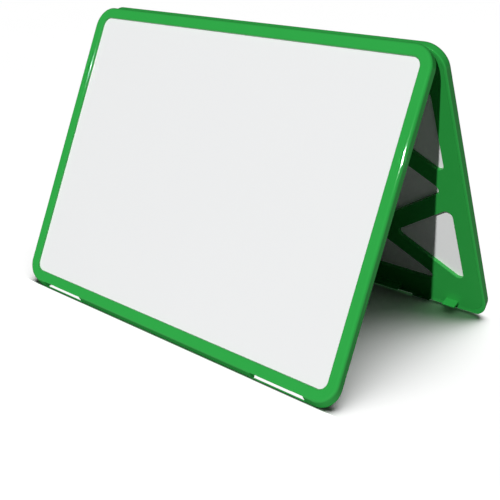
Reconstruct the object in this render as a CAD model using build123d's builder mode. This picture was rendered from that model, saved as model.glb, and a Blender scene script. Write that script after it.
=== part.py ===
from build123d import *
import os
from math import asin, atan2, cos, hypot, radians, sin, tan

os.makedirs("parts", exist_ok=True)

# Desktop whiteboard that stands as an A-frame: two boards hinged along their top edges.
# X runs along the width, the front board faces -Y, Z is up, and the desk is at Z = 0.

# Writing area and the border round it
window_width = 336.5
window_height = 237.0
window_corner_radius = 7.5
border_width = 9.5
outer_corner_radius = 18.0

# Layers of one board, counted outwards from its inner face
frame_thickness = 3.0
backing_thickness = 1.5
sheet_thickness = 0.4
lip_thickness = 2.5

# Bezel wall, edge radii, and the clearances of what sits inside
bezel_wall = 2.2
sheet_clearance = 0.3
frame_clearance = 0.15
outer_edge_radius = 2.4
window_edge_radius = 1.5
inner_edge_radius = 0.8

# Stance on the desk, and the foot that each bottom wall flares into
lean_angle = 23.8
fold_gap = 1.0
stop_gap = 0.13
foot_drop = 3.5
tread_cut = 0.04
face_rise = 0.5

# Finger notches in the bottom wall of the front bezel, each with a thumb tab in its ceiling
# and a thin rail left along the desk
notch_rise = 0.6
notch_rail_height = 0.5
notch_rail_depth = 1.3
finger_notch_inner = 101.5
finger_notch_width = 50.5
thumb_tab_inner = 107.5
thumb_tab_width = 32.0
thumb_tab_drop = 0.6

# Truss of the back frames: two diagonals and a diamond, with all struts at one angle
opening_width = 322.0
opening_height = 204.4
strut_width = 16.0
strut_angle = 33.2
diamond_width = 342.4
truss_corner_radius = 5.0
truss_edge_radius = 0.4

# Catches on the rear frame, thin ledges that enter slots of the front board when it folds
wide_catch_inner = 61.0
wide_catch_width = 32.5
narrow_catch_inner = 139.8
narrow_catch_width = 11.7
catch_above_foot = 11.0
catch_reach = 7.4
catch_root_thickness = 2.2
catch_tip_thickness = 1.6
catch_edge_radius = 0.4
catch_clearance = 0.4
catch_tip_clearance = 0.2

# Relief cuts that lift parts of the rear foot off the desk
relief_height = 2.2
wide_relief_inner = 54.0
wide_relief_width = 49.0
corner_relief_inner = 120.0
corner_relief_width = 52.0

# Hinge: sets of knuckles on one axis, each set with its own pin
hinge_spacing = 120.0
hinge_count = 3
outer_knuckle_length = 11.0
middle_knuckle_length = 14.0
knuckle_gap = 0.5
knuckle_radius = 2.0
knuckle_clearance = 0.4
pin_radius = 1.0
pin_seat_clearance = 0.02
pin_running_clearance = 0.08

# Snap lugs that hold each frame in its bezel
lug_length = 10.0
lug_height = 1.2
lug_reach = 0.5
lug_clearance = 0.1
side_lug_spacing = 75.0
side_lug_count = 3
end_lug_offset = 40.0

# How far a cut runs past the face that it starts from, and how exactly depths are matched
overrun = 1.0
depth_tolerance = 1e-4

# Sizes that follow from the ones above
sheet_seat = frame_thickness + backing_thickness
lip_seat = sheet_seat + sheet_thickness
board_thickness = lip_seat + lip_thickness
outer_width = window_width + 2 * border_width
outer_height = window_height + 2 * border_width
cavity_width = outer_width - 2 * bezel_wall
cavity_height = outer_height - 2 * bezel_wall
cavity_corner_radius = outer_corner_radius - bezel_wall
frame_width = cavity_width - 2 * frame_clearance
frame_height = cavity_height - 2 * frame_clearance
hinge_length = 2 * outer_knuckle_length + middle_knuckle_length + 2 * knuckle_gap
hinge_places = [(i - (hinge_count - 1) / 2) * hinge_spacing for i in range(hinge_count)]

# The rounded top edges of the open boards meet at the stop, which sets the hinge's depth
lean = radians(lean_angle)
axis_offset = fold_gap / 2
stop_reach = (axis_offset + inner_edge_radius) * cos(lean) - inner_edge_radius - stop_gap / 2
top_edge = inner_edge_radius + stop_reach / sin(lean)
bottom_edge = top_edge - outer_height
board_centre = (top_edge + bottom_edge) / 2
foot_corner = bottom_edge - foot_drop
frame_bottom = board_centre - frame_height / 2
frame_top = board_centre + frame_height / 2
wall_top = bottom_edge + bezel_wall
notch_ceiling = bottom_edge + notch_rise
rail_top = foot_corner + notch_rail_height
below_desk = foot_corner - foot_drop

# The bottom wall flares over its whole depth, from the face to the rounded edge of the foot,
# where the desk's plane cuts off a narrow tread
face_bottom = bottom_edge + face_rise
foot_centre = foot_corner + (inner_edge_radius * (1 - sin(lean)) - tread_cut) / cos(lean)
flare_run = board_thickness - inner_edge_radius
flare_fall = face_bottom - foot_centre
flare_angle = atan2(flare_fall, flare_run) + asin(inner_edge_radius / hypot(flare_run, flare_fall))
flare_bottom = face_bottom - board_thickness * tan(flare_angle)

# Catches up the board, and how deep their tips lie in the front board when it is folded
catch_top = foot_corner + catch_above_foot
catch_bottom = catch_top - catch_root_thickness
pocket_depth = catch_reach - fold_gap + catch_tip_clearance
relief_top = foot_corner + relief_height

# Height of the hinge axis that sets both feet on the desk
hinge_height = -(foot_corner * cos(lean) + axis_offset * sin(lean))

# Board planes: X along the width, Y up the board from the hinge axis, Z out of its face
front_plane = Plane(
    origin=(0, -axis_offset * cos(lean), hinge_height + axis_offset * sin(lean)),
    x_dir=(1, 0, 0),
    z_dir=(0, -cos(lean), sin(lean)),
)
rear_plane = Plane(
    origin=(0, axis_offset * cos(lean), hinge_height + axis_offset * sin(lean)),
    x_dir=(-1, 0, 0),
    z_dir=(0, cos(lean), sin(lean)),
)
hinge_plane = Plane(origin=(0, 0, hinge_height), x_dir=(0, 1, 0), z_dir=(1, 0, 0))


def both_sides(inner, width):
    """The same stretch of width on both halves of a board, as low and high X."""
    return [(inner, inner + width), (-inner - width, -inner)]


def widen(span, margin):
    """A span with a margin at both ends."""
    return (span[0] - margin, span[1] + margin)


def block(board, span, rise, depth, mode):
    """A block on a board: a span of X, a span up the board and a span of depth."""
    with BuildSketch(board.offset(depth[0])) as outline:
        with Locations(((span[0] + span[1]) / 2, (rise[0] + rise[1]) / 2)):
            Rectangle(span[1] - span[0], rise[1] - rise[0])
    extrude(outline.sketch, amount=depth[1] - depth[0], mode=mode)


def panel(board, width, height, radius, depth, mode):
    """A rounded rectangle about the middle of the board through a span of depth."""
    with BuildSketch(board.offset(depth[0])) as outline:
        with Locations((0, board_centre)):
            RectangleRounded(width, height, radius)
    extrude(outline.sketch, amount=depth[1] - depth[0], mode=mode)


def barrel(span, radius, mode):
    """A cylinder on the hinge axis over a span of X."""
    with BuildSketch(hinge_plane.offset(span[0])) as outline:
        Circle(radius)
    extrude(outline.sketch, amount=span[1] - span[0], mode=mode)


def side_plane(board, x):
    """Plane across a board at X: its own X runs up the board and its Y out of the inner face."""
    return Plane(
        origin=board.from_local_coords(Vector(x, 0, 0)),
        x_dir=board.y_dir,
        z_dir=-board.x_dir,
    )


def edges_at_depth(part, board, depth):
    """Edges of a part that lie flat at one depth of a board."""
    found = ShapeList()
    for edge in part.edges():
        heights = [board.to_local_coords(edge.position_at(t)).Z for t in (0, 0.5, 1)]
        if max(abs(height - depth) for height in heights) < depth_tolerance:
            found.append(edge)
    return found


def inside_window(edge, board):
    """True for an edge within the outline of the window."""
    point = board.to_local_coords(edge.position_at(0.5))
    across = abs(point.X) < window_width / 2 + window_edge_radius / 2
    return across and abs(point.Y - board_centre) < window_height / 2 + window_edge_radius / 2


def outer_knuckles(x):
    """Spans of the two knuckles at the ends of the hinge at X."""
    half = hinge_length / 2
    return [(x - half, x - half + outer_knuckle_length), (x + half - outer_knuckle_length, x + half)]


def middle_knuckle(x):
    """Span of the knuckle in the middle of the hinge at X."""
    return (x - middle_knuckle_length / 2, x + middle_knuckle_length / 2)


def lugs(board, growth, mode):
    """Snap lugs round the edge of a frame, or with growth the pockets for them."""
    low = (frame_thickness - lug_height) / 2 - growth
    with BuildSketch(board.offset(low)) as outline:
        for i in range(side_lug_count):
            y = board_centre + (i - (side_lug_count - 1) / 2) * side_lug_spacing
            with Locations((-frame_width / 2, y), (frame_width / 2, y)):
                Rectangle(2 * (lug_reach + growth), lug_length + 2 * growth)
        for x in (-end_lug_offset, end_lug_offset):
            with Locations((x, frame_bottom), (x, frame_top)):
                Rectangle(lug_length + 2 * growth, 2 * (lug_reach + growth))
    extrude(outline.sketch, amount=lug_height + 2 * growth, mode=mode)


def bezel(body, board):
    """Bezel without its notches: a flared tray with a window, a foot and hinge reliefs."""
    sections = []
    for depth, low in ((0, flare_bottom), (board_thickness, face_bottom)):
        with BuildSketch(board.offset(depth)) as outline:
            with Locations((0, (top_edge + low) / 2)):
                RectangleRounded(outer_width, top_edge - low, outer_corner_radius)
        sections.append(outline.sketch.face())
    loft(sections, ruled=True)
    fillet(edges_at_depth(body.part, board, board_thickness), outer_edge_radius)
    fillet(edges_at_depth(body.part, board, 0), inner_edge_radius)
    with BuildSketch(Plane.XY) as floor:
        Rectangle(2 * outer_width, 2 * outer_height)
    extrude(floor.sketch, amount=-outer_height, mode=Mode.SUBTRACT)
    panel(board, cavity_width, cavity_height, cavity_corner_radius, (-overrun, lip_seat), Mode.SUBTRACT)
    opening = (lip_seat, board_thickness + overrun)
    panel(board, window_width, window_height, window_corner_radius, opening, Mode.SUBTRACT)
    rim = edges_at_depth(body.part, board, board_thickness)
    fillet([edge for edge in rim if inside_window(edge, board)], window_edge_radius)
    for x in hinge_places:
        half = hinge_length / 2 + knuckle_gap
        barrel((x - half, x + half), knuckle_radius + knuckle_clearance, Mode.SUBTRACT)
    lugs(board, lug_clearance, Mode.SUBTRACT)


def sheet(board, depth):
    """A flat sheet that fills the bezel's tray through a span of depth."""
    width = cavity_width - 2 * sheet_clearance
    height = cavity_height - 2 * sheet_clearance
    panel(board, width, height, cavity_corner_radius - sheet_clearance, depth, Mode.ADD)


def crossing(first, second):
    """Where two lines a * x + b * y = c cross."""
    a1, b1, c1 = first
    a2, b2, c2 = second
    det = a1 * b2 - a2 * b1
    return ((c1 * b2 - c2 * b1) / det, (a1 * c2 - a2 * c1) / det)


def truss_windows():
    """Corners of the windows between the struts, about the middle of the board."""
    slope = tan(radians(strut_angle))
    rise = strut_width / 2 / cos(radians(strut_angle))
    apex = slope * diamond_width / 2
    over = (-slope, 1, rise)
    under = (-slope, 1, -rise)
    within = (slope, 1, apex - rise)
    beyond = (slope, 1, apex + rise)
    middle_row = (0, 1, 0)
    middle_column = (1, 0, 0)
    side = (1, 0, opening_width / 2)
    end = (0, 1, opening_height / 2)
    node = crossing(under, within)
    shapes = [[crossing(under, middle_row), node, crossing(within, middle_row), (node[0], -node[1])]]
    node = crossing(over, within)
    shapes.append([crossing(over, middle_column), node, crossing(within, middle_column), (-node[0], node[1])])
    windows = shapes + [[(-x, -y) for x, y in shape] for shape in shapes]
    corners = [[crossing(over, beyond), crossing(beyond, end), crossing(over, end)],
               [crossing(under, beyond), crossing(beyond, side), crossing(under, side)]]
    for flip_x, flip_y in ((1, 1), (-1, 1), (1, -1), (-1, -1)):
        windows += [[(flip_x * x, flip_y * y) for x, y in shape] for shape in corners]
    return windows


def truss(body, board):
    """Back frame: an outline with rails, two diagonals and a diamond of struts."""
    corner_radius = cavity_corner_radius - frame_clearance
    panel(board, frame_width, frame_height, corner_radius, (0, frame_thickness), Mode.ADD)
    for window in truss_windows():
        with BuildSketch(board) as outline:
            with BuildLine():
                Polyline(*[(x, y + board_centre) for x, y in window], close=True)
            make_face()
            fillet(outline.vertices(), truss_corner_radius)
        extrude(outline.sketch, amount=frame_thickness, mode=Mode.SUBTRACT)
    rim = edges_at_depth(body.part, board, 0)
    fillet([edge for edge in rim if within_opening(edge, board)], truss_edge_radius)
    lugs(board, 0, Mode.ADD)


def within_opening(edge, board):
    """True for an edge of a window between the struts."""
    point = board.to_local_coords(edge.position_at(0.5))
    across = abs(point.X) < opening_width / 2 + truss_corner_radius
    return across and abs(point.Y - board_centre) < opening_height / 2 + truss_corner_radius


def knuckles(board, own, other):
    """Knuckles over their own spans, and grooves that clear the other board's knuckles."""
    for low, high in other:
        barrel((low - knuckle_gap, high + knuckle_gap), knuckle_radius + knuckle_clearance, Mode.SUBTRACT)
    for span in own:
        barrel(span, knuckle_radius, Mode.ADD)
        local = span if board.x_dir.X > 0 else (-span[1], -span[0])
        block(board, local, (frame_top - knuckle_radius, 0), (0, knuckle_radius - axis_offset), Mode.ADD)


def pin_bore(span, clearance):
    """Bore for the hinge pin over a span of X."""
    barrel(span, pin_radius + clearance, Mode.SUBTRACT)


catch_spans = both_sides(wide_catch_inner, wide_catch_width)
catch_spans += both_sides(narrow_catch_inner, narrow_catch_width)
slot_spans = [widen(span, catch_clearance) for span in catch_spans]
slot_top = catch_top + catch_clearance
slot_bottom = catch_bottom - catch_clearance

# Bezel of the front board, with finger notches in its foot and pockets for the catches' tips
with BuildPart() as front_bezel:
    bezel(front_bezel, front_plane)
    for span in both_sides(finger_notch_inner, finger_notch_width):
        front = board_thickness + overrun
        block(front_plane, span, (rail_top, notch_ceiling), (-overrun, front), Mode.SUBTRACT)
        block(front_plane, span, (below_desk, rail_top), (notch_rail_depth, front), Mode.SUBTRACT)
    for span in both_sides(thumb_tab_inner, thumb_tab_width):
        tab = (notch_ceiling - thumb_tab_drop, wall_top)
        block(front_plane, span, tab, (0, lip_seat), Mode.ADD)
    for span in slot_spans:
        block(front_plane, span, (slot_bottom, slot_top), (lip_seat, pocket_depth), Mode.SUBTRACT)
front_bezel.part.label = "front_bezel"
export_step(front_bezel.part, "parts/front_bezel.step")

# Enamelled steel sheet that is written on at the front, notched for the catches
with BuildPart() as front_writing_sheet:
    sheet(front_plane, (sheet_seat, lip_seat))
    for span in slot_spans:
        block(front_plane, span, (bottom_edge, slot_top), (sheet_seat, lip_seat), Mode.SUBTRACT)
front_writing_sheet.part.label = "front_writing_sheet"
export_step(front_writing_sheet.part, "parts/front_writing_sheet.step")

# Stiff board behind the front sheet, notched like it
with BuildPart() as front_backing_board:
    sheet(front_plane, (frame_thickness, sheet_seat))
    for span in slot_spans:
        block(front_plane, span, (bottom_edge, slot_top), (frame_thickness, sheet_seat), Mode.SUBTRACT)
front_backing_board.part.label = "front_backing_board"
export_step(front_backing_board.part, "parts/front_backing_board.step")

# Back frame of the front board, with the outer knuckles and slots for the catches
with BuildPart() as front_back_frame:
    truss(front_back_frame, front_plane)
    own = [span for x in hinge_places for span in outer_knuckles(x)]
    other = [middle_knuckle(x) for x in hinge_places]
    knuckles(front_plane, own, other)
    for span in own:
        pin_bore(span, pin_seat_clearance)
    for span in slot_spans:
        block(front_plane, span, (slot_bottom, slot_top), (0, frame_thickness), Mode.SUBTRACT)
front_back_frame.part.label = "front_back_frame"
export_step(front_back_frame.part, "parts/front_back_frame.step")

# Bezel of the rear board, with its foot cut away under the catches
with BuildPart() as rear_bezel:
    bezel(rear_bezel, rear_plane)
    reliefs = both_sides(wide_relief_inner, wide_relief_width)
    reliefs += both_sides(corner_relief_inner, corner_relief_width)
    for span in reliefs:
        block(rear_plane, span, (below_desk, relief_top), (-overrun, lip_seat), Mode.SUBTRACT)
rear_bezel.part.label = "rear_bezel"
export_step(rear_bezel.part, "parts/rear_bezel.step")

# Enamelled steel sheet that is written on at the rear
with BuildPart() as rear_writing_sheet:
    sheet(rear_plane, (sheet_seat, lip_seat))
rear_writing_sheet.part.label = "rear_writing_sheet"
export_step(rear_writing_sheet.part, "parts/rear_writing_sheet.step")

# Stiff board behind the rear sheet
with BuildPart() as rear_backing_board:
    sheet(rear_plane, (frame_thickness, sheet_seat))
rear_backing_board.part.label = "rear_backing_board"
export_step(rear_backing_board.part, "parts/rear_backing_board.step")

# Back frame of the rear board, with the middle knuckles and the catches
with BuildPart() as rear_back_frame:
    truss(rear_back_frame, rear_plane)
    own = [middle_knuckle(x) for x in hinge_places]
    other = [span for x in hinge_places for span in outer_knuckles(x)]
    knuckles(rear_plane, own, other)
    for span in own:
        pin_bore(span, pin_running_clearance)
    for span in catch_spans:
        with BuildSketch(side_plane(rear_plane, span[1])) as profile:
            with BuildLine():
                Polyline(
                    (catch_top, -frame_thickness / 2),
                    (catch_top, catch_reach),
                    (catch_top - catch_tip_thickness, catch_reach),
                    (catch_bottom, 0),
                    (catch_bottom, -frame_thickness / 2),
                    close=True,
                )
            make_face()
            fillet(profile.vertices().group_by(Axis.Y)[-1], catch_edge_radius)
        extrude(profile.sketch, amount=span[1] - span[0])
rear_back_frame.part.label = "rear_back_frame"
export_step(rear_back_frame.part, "parts/rear_back_frame.step")

# Hinge pins, one through each set of knuckles
for name, x in zip(("hinge_pin_left", "hinge_pin_middle", "hinge_pin_right"), hinge_places):
    with BuildPart() as hinge_pin:
        barrel((x - hinge_length / 2, x + hinge_length / 2), pin_radius, Mode.ADD)
    hinge_pin.part.label = name
    export_step(hinge_pin.part, f"parts/{name}.step")
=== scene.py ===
import bpy
import math
import numpy as np
from mathutils import Matrix, Vector

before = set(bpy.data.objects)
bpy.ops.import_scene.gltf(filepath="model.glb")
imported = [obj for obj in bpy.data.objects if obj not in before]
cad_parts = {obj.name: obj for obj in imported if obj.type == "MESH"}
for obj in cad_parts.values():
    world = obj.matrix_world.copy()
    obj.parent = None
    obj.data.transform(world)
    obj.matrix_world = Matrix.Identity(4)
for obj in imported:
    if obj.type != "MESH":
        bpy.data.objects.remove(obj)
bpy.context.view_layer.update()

# Bezels: one moulded tray for each board, in glossy green plastic. A soft mottle varies the colour, and
# rubbing and a very fine mould grain leave the gloss slightly uneven.


class Sock:
    """A shader socket, or a number, that + and * turn into Math nodes."""

    def __init__(self, tree, value):
        self.tree = tree
        self.value = value

    def node(self, kind, settings=None, out=0, **inputs):
        """Adds a node: its settings first, then its sockets by name or place, and gives one output."""
        made = self.tree.nodes.new("ShaderNode" + kind)
        for name, value in (settings or {}).items():
            setattr(made, name, value)
        for name, value in inputs.items():
            key = int(name[1:]) if name[0] == "_" else name.replace("_", " ")
            socket = made.inputs[key]
            if isinstance(value, Sock):
                self.tree.links.new(value.value, socket)
            else:
                socket.default_value = value
        return Sock(self.tree, made.outputs[out])

    def noise(self, place, scale, detail, roughness=0.5):
        """Noise with about scale features to each unit of place."""
        return self.node("TexNoise", Vector=place, Scale=scale, Detail=detail, Roughness=roughness)

    def blend(self, factor, first, second):
        """A colour between two."""
        return self.node("Mix", {"data_type": "RGBA"}, out=2, _0=factor, _6=first, _7=second)

    def fade(self, value, start, end):
        """Rises smoothly from 0 where value is start to 1 where it is end."""
        smooth = {"interpolation_type": "SMOOTHSTEP"}
        return self.node("MapRange", smooth, Value=value, From_Min=start, From_Max=end)

    def _math(self, operation, first, second):
        return self.node("Math", {"operation": operation}, _0=first, _1=second)

    def __add__(self, other):
        return self._math("ADD", self, other)

    def __radd__(self, other):
        return self._math("ADD", other, self)

    def __mul__(self, other):
        return self._math("MULTIPLY", self, other)


def finish_of(name, **constants):
    """A new material with its shader's fixed sockets set. Gives it, the shader and a socket."""
    material = bpy.data.materials.new(name)
    material.use_nodes = True
    tree = material.node_tree
    shader = tree.nodes["Principled BSDF"]
    for key, value in constants.items():
        shader.inputs[key.replace("_", " ")].default_value = value
    return material, shader, Sock(tree, None)


def wire(shader, **sources):
    """Links sources to the shader's sockets by name."""
    for key, source in sources.items():
        source.tree.links.new(source.value, shader.inputs[key.replace("_", " ")])


def dress(material, *nodes):
    """Gives every slot of the CAD nodes one material."""
    for node in nodes:
        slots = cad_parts[node].data.materials
        slots.clear()
        slots.append(material)


def moulded_green(name, tone, grain_scale, grain_depth):
    """Glossy green plastic: a large mottle in colour, and a fine grain in gloss and relief."""
    mottle_share = 0.35
    smoothest, rub_share, grain_share = 0.028, 0.01, 0.004
    green = (0.028 * tone, 0.39 * tone, 0.062 * tone, 1)
    green_worn = (0.045 * tone, 0.46 * tone, 0.09 * tone, 1)
    material, shader, s = finish_of(name, Specular_IOR_Level=0.5, IOR=1.49)
    place = s.node("TexCoord", out=3)
    mottle = s.noise(place, scale=38.0, detail=3.0, roughness=0.55)
    grain = s.noise(place, scale=grain_scale, detail=2.0, roughness=0.6)
    rub = s.noise(place, scale=9.0, detail=5.0, roughness=0.7)
    colour = s.blend(mottle * mottle_share, green, green_worn)
    gloss = smoothest + rub * rub_share + grain * grain_share
    relief = s.node("Bump", Strength=0.05, Distance=grain_depth, Height=grain)
    wire(shader, Base_Color=colour, Roughness=gloss, Normal=relief)
    return material


bezel_plastic = moulded_green("bezel_plastic", tone=1.0, grain_scale=2600.0, grain_depth=0.00001)
dress(bezel_plastic, "front_bezel", "rear_bezel")

# Writing sheets: 0.4 mm steel with baked white enamel, laid in the bezel's tray. The enamel is smooth
# with a faint orange peel, and cloth strokes leave the gloss slightly uneven.
peel_depth = 0.00003
haze_share, enamel_smoothest, enamel_range = 0.5, 0.26, 0.08
enamel_cool, enamel_bright = (0.875, 0.885, 0.889, 1), (0.892, 0.899, 0.899, 1)
material, shader, s = finish_of("white_enamel", Specular_IOR_Level=0.5, IOR=1.52)
place = s.node("TexCoord", out=3)
peel = s.noise(place, scale=420.0, detail=2.0)
haze = s.noise(place, scale=14.0, detail=4.0, roughness=0.6)
tint = s.blend(haze * haze_share, enamel_cool, enamel_bright)
relief = s.node("Bump", Strength=0.08, Distance=peel_depth, Height=peel)
wire(shader, Base_Color=tint, Roughness=enamel_smoothest + haze * enamel_range, Normal=relief)
dress(material, "front_writing_sheet", "rear_writing_sheet")

# Backing boards: 1.5 mm stiff white sheet glued behind the steel. Its face is matt, with the faint
# lengthwise drag that calendering leaves.
drag_depth = 0.00005
drag_share, cloud_share = 0.5, 0.4
board_smoothest, board_range = 0.55, 0.1
board_dull, board_bright = (0.9, 0.91, 0.91, 1), (0.96, 0.96, 0.96, 1)
material, shader, s = finish_of("backing_white", Specular_IOR_Level=0.35)
place = s.node("TexCoord", out=3)
stretched = s.node("Mapping", Vector=place, Scale=(60.0, 900.0, 900.0))
drag = s.noise(stretched, scale=1.0, detail=3.0, roughness=0.6)
cloud = s.noise(place, scale=25.0, detail=3.0)
tint = s.blend(drag * drag_share + cloud * cloud_share, board_dull, board_bright)
relief = s.node("Bump", Strength=0.15, Distance=drag_depth, Height=drag)
wire(shader, Base_Color=tint, Roughness=board_smoothest + cloud * board_range, Normal=relief)
dress(material, "front_backing_board", "rear_backing_board")

# Back frames: 3 mm moulded trusses that snap into the bezels, with the hinge knuckles and the catches.
# The same plastic, a little darker, with a coarser grain on the faces that nobody writes on.
frame_plastic = moulded_green("frame_plastic", tone=0.88, grain_scale=1500.0, grain_depth=0.00002)
dress(frame_plastic, "front_back_frame", "rear_back_frame")

# Hinge pins: 2 mm drawn steel wire, cut and pressed into the outer knuckles. Drawing leaves fine lines
# along the wire.
line_depth = 0.00002
steel_smoothest, steel_range = 0.26, 0.16
material, shader, s = finish_of("pin_steel", Metallic=1.0, Base_Color=(0.56, 0.57, 0.58, 1))
place = s.node("TexCoord", out=3)
stretched = s.node("Mapping", Vector=place, Scale=(150.0, 6000.0, 6000.0))
lines = s.noise(stretched, scale=1.0, detail=3.0, roughness=0.6)
relief = s.node("Bump", Strength=0.2, Distance=line_depth, Height=lines)
wire(shader, Roughness=steel_smoothest + lines * steel_range, Normal=relief)
dress(material, "hinge_pin_left", "hinge_pin_middle", "hinge_pin_right")

# Floor: a wide pale sweep that takes only the soft shadow. It isn't part of the object. Rays that
# bounce off it see a darker grey, so that it throws little light back up. Painted light: for the camera
# it glows pure white in front of the board, over the shadow under the bezel's overhang, and in a
# painted patch of light just behind its finger notches.
reach, drop = 12.0, 0.0002
floor_mesh = bpy.data.meshes.new("floor")
corners = np.array([[-1, -1, 0], [1, -1, 0], [1, 1, 0], [-1, 1, 0]]) * (reach, reach, 0) - (0, 0, drop)
floor_mesh.from_pydata(corners.tolist(), [], [(0, 1, 2, 3)])
floor = bpy.data.objects.new("floor", floor_mesh)
bpy.context.scene.collection.objects.link(floor)

black, white = (0, 0, 0, 1), (1, 1, 1, 1)
bounce_grey = (0.14, 0.14, 0.14, 1)
floor_dull, floor_bright = (0.92, 0.92, 0.92, 1), (0.94, 0.94, 0.94, 1)
foot_fade = (-0.106, -0.1075)
strip_inner, strip_outer = (0.091, 0.094), (0.156, 0.153)
strip_back, strip_front = (-0.0935, -0.0965), (-0.1043, -0.1037)
material, shader, s = finish_of(
    "floor_white", Roughness=0.9, Specular_IOR_Level=0.1, Emission_Strength=1.0
)
direct = s.node("LightPath", out=0)
place = s.node("TexCoord", out=3)
pale = s.blend(s.noise(place, scale=2.0, detail=2.0), floor_dull, floor_bright)
shown = s.blend(direct, bounce_grey, pale)
depth = s.node("SeparateXYZ", out=1, Vector=place)
sideways = s.node("Math", {"operation": "ABSOLUTE"}, _0=s.node("SeparateXYZ", out=0, Vector=place))
# Painted light: the camera sees the floor glow white in front of the foot and in a patch behind each
# finger notch.
front = s.fade(depth, *foot_fade)
strip_length = s.fade(sideways, *strip_inner) * s.fade(sideways, *strip_outer)
painted_notch_patch = strip_length * s.fade(depth, *strip_back) * s.fade(depth, *strip_front)
painted_light = s.blend((front + painted_notch_patch) * direct, black, white)
wire(shader, Base_Color=shown, Emission_Color=painted_light)
floor_mesh.materials.append(material)

# Light: a small hard key from the front right for the object alone, a soft light from nearly straight
# above for the floor alone, and a dim pale room. A fill from the back left, without highlights, reaches
# only the rear bezel and the rear sheet, whose outer sides the photograph doesn't show.
key_turn, key_rise = math.radians(18.0), math.radians(28.1)
level_reach = math.cos(key_rise)
from_front = Vector(
    (math.sin(key_turn) * level_reach, -math.cos(key_turn) * level_reach, math.sin(key_rise))
)
from_above = Vector((0.114, 0.0, 1.0))
from_behind = Vector((-0.62, 0.78, 0.07))
rear_side = [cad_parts[node] for node in ("rear_bezel", "rear_writing_sheet")]
for name, energy, spread, aim, state, reached in (
    ("key", 3.1, 1.0, from_front, "EXCLUDE", [floor]),
    ("floor_sky", 3.4, 38.0, from_above, "INCLUDE", [floor]),
    ("rear_fill", 1.6, 12.0, from_behind, "INCLUDE", rear_side),
):
    lamp = bpy.data.lights.new(name, "SUN")
    lamp.energy = energy
    lamp.angle = math.radians(spread)
    stand = bpy.data.objects.new(name, lamp)
    stand.rotation_mode = "QUATERNION"
    stand.rotation_quaternion = aim.to_track_quat("Z", "Y")
    stand.visible_glossy = name != "rear_fill"
    bpy.context.scene.collection.objects.link(stand)
    reach_list = bpy.data.collections.new(name + "_reach")
    for i, thing in enumerate(reached):
        reach_list.objects.link(thing)
        reach_list.collection_objects[i].light_linking.link_state = state
    stand.light_linking.receiver_collection = reach_list

room_light = 0.026
world = bpy.data.worlds.new("room")
world.use_nodes = True
room = Sock(world.node_tree, None)
shade = world.node_tree.nodes["Background"]
shade.inputs["Color"].default_value = white
seen = room.node("LightPath", out=0)
level = room_light + seen * (1 - room_light)
world.node_tree.links.new(level.value, shade.inputs["Strength"])
bpy.context.scene.world = world
bpy.context.scene.view_settings.view_transform = "Standard"

# Camera: at the front right of the board and above it, as far off as the photograph's perspective says.
camera = bpy.data.cameras.new("camera")
camera.lens = 65.8
camera.sensor_width = 36.0
camera.clip_start = 0.05
eye = bpy.data.objects.new("camera", camera)
spot = Vector((0.5044, -0.5462, 0.3298))
look = Vector((-0.6328, 0.6872, -0.3566))
eye.matrix_world = Matrix.Translation(spot) @ look.to_track_quat("-Z", "Y").to_matrix().to_4x4()
bpy.context.scene.collection.objects.link(eye)
bpy.context.scene.camera = eye
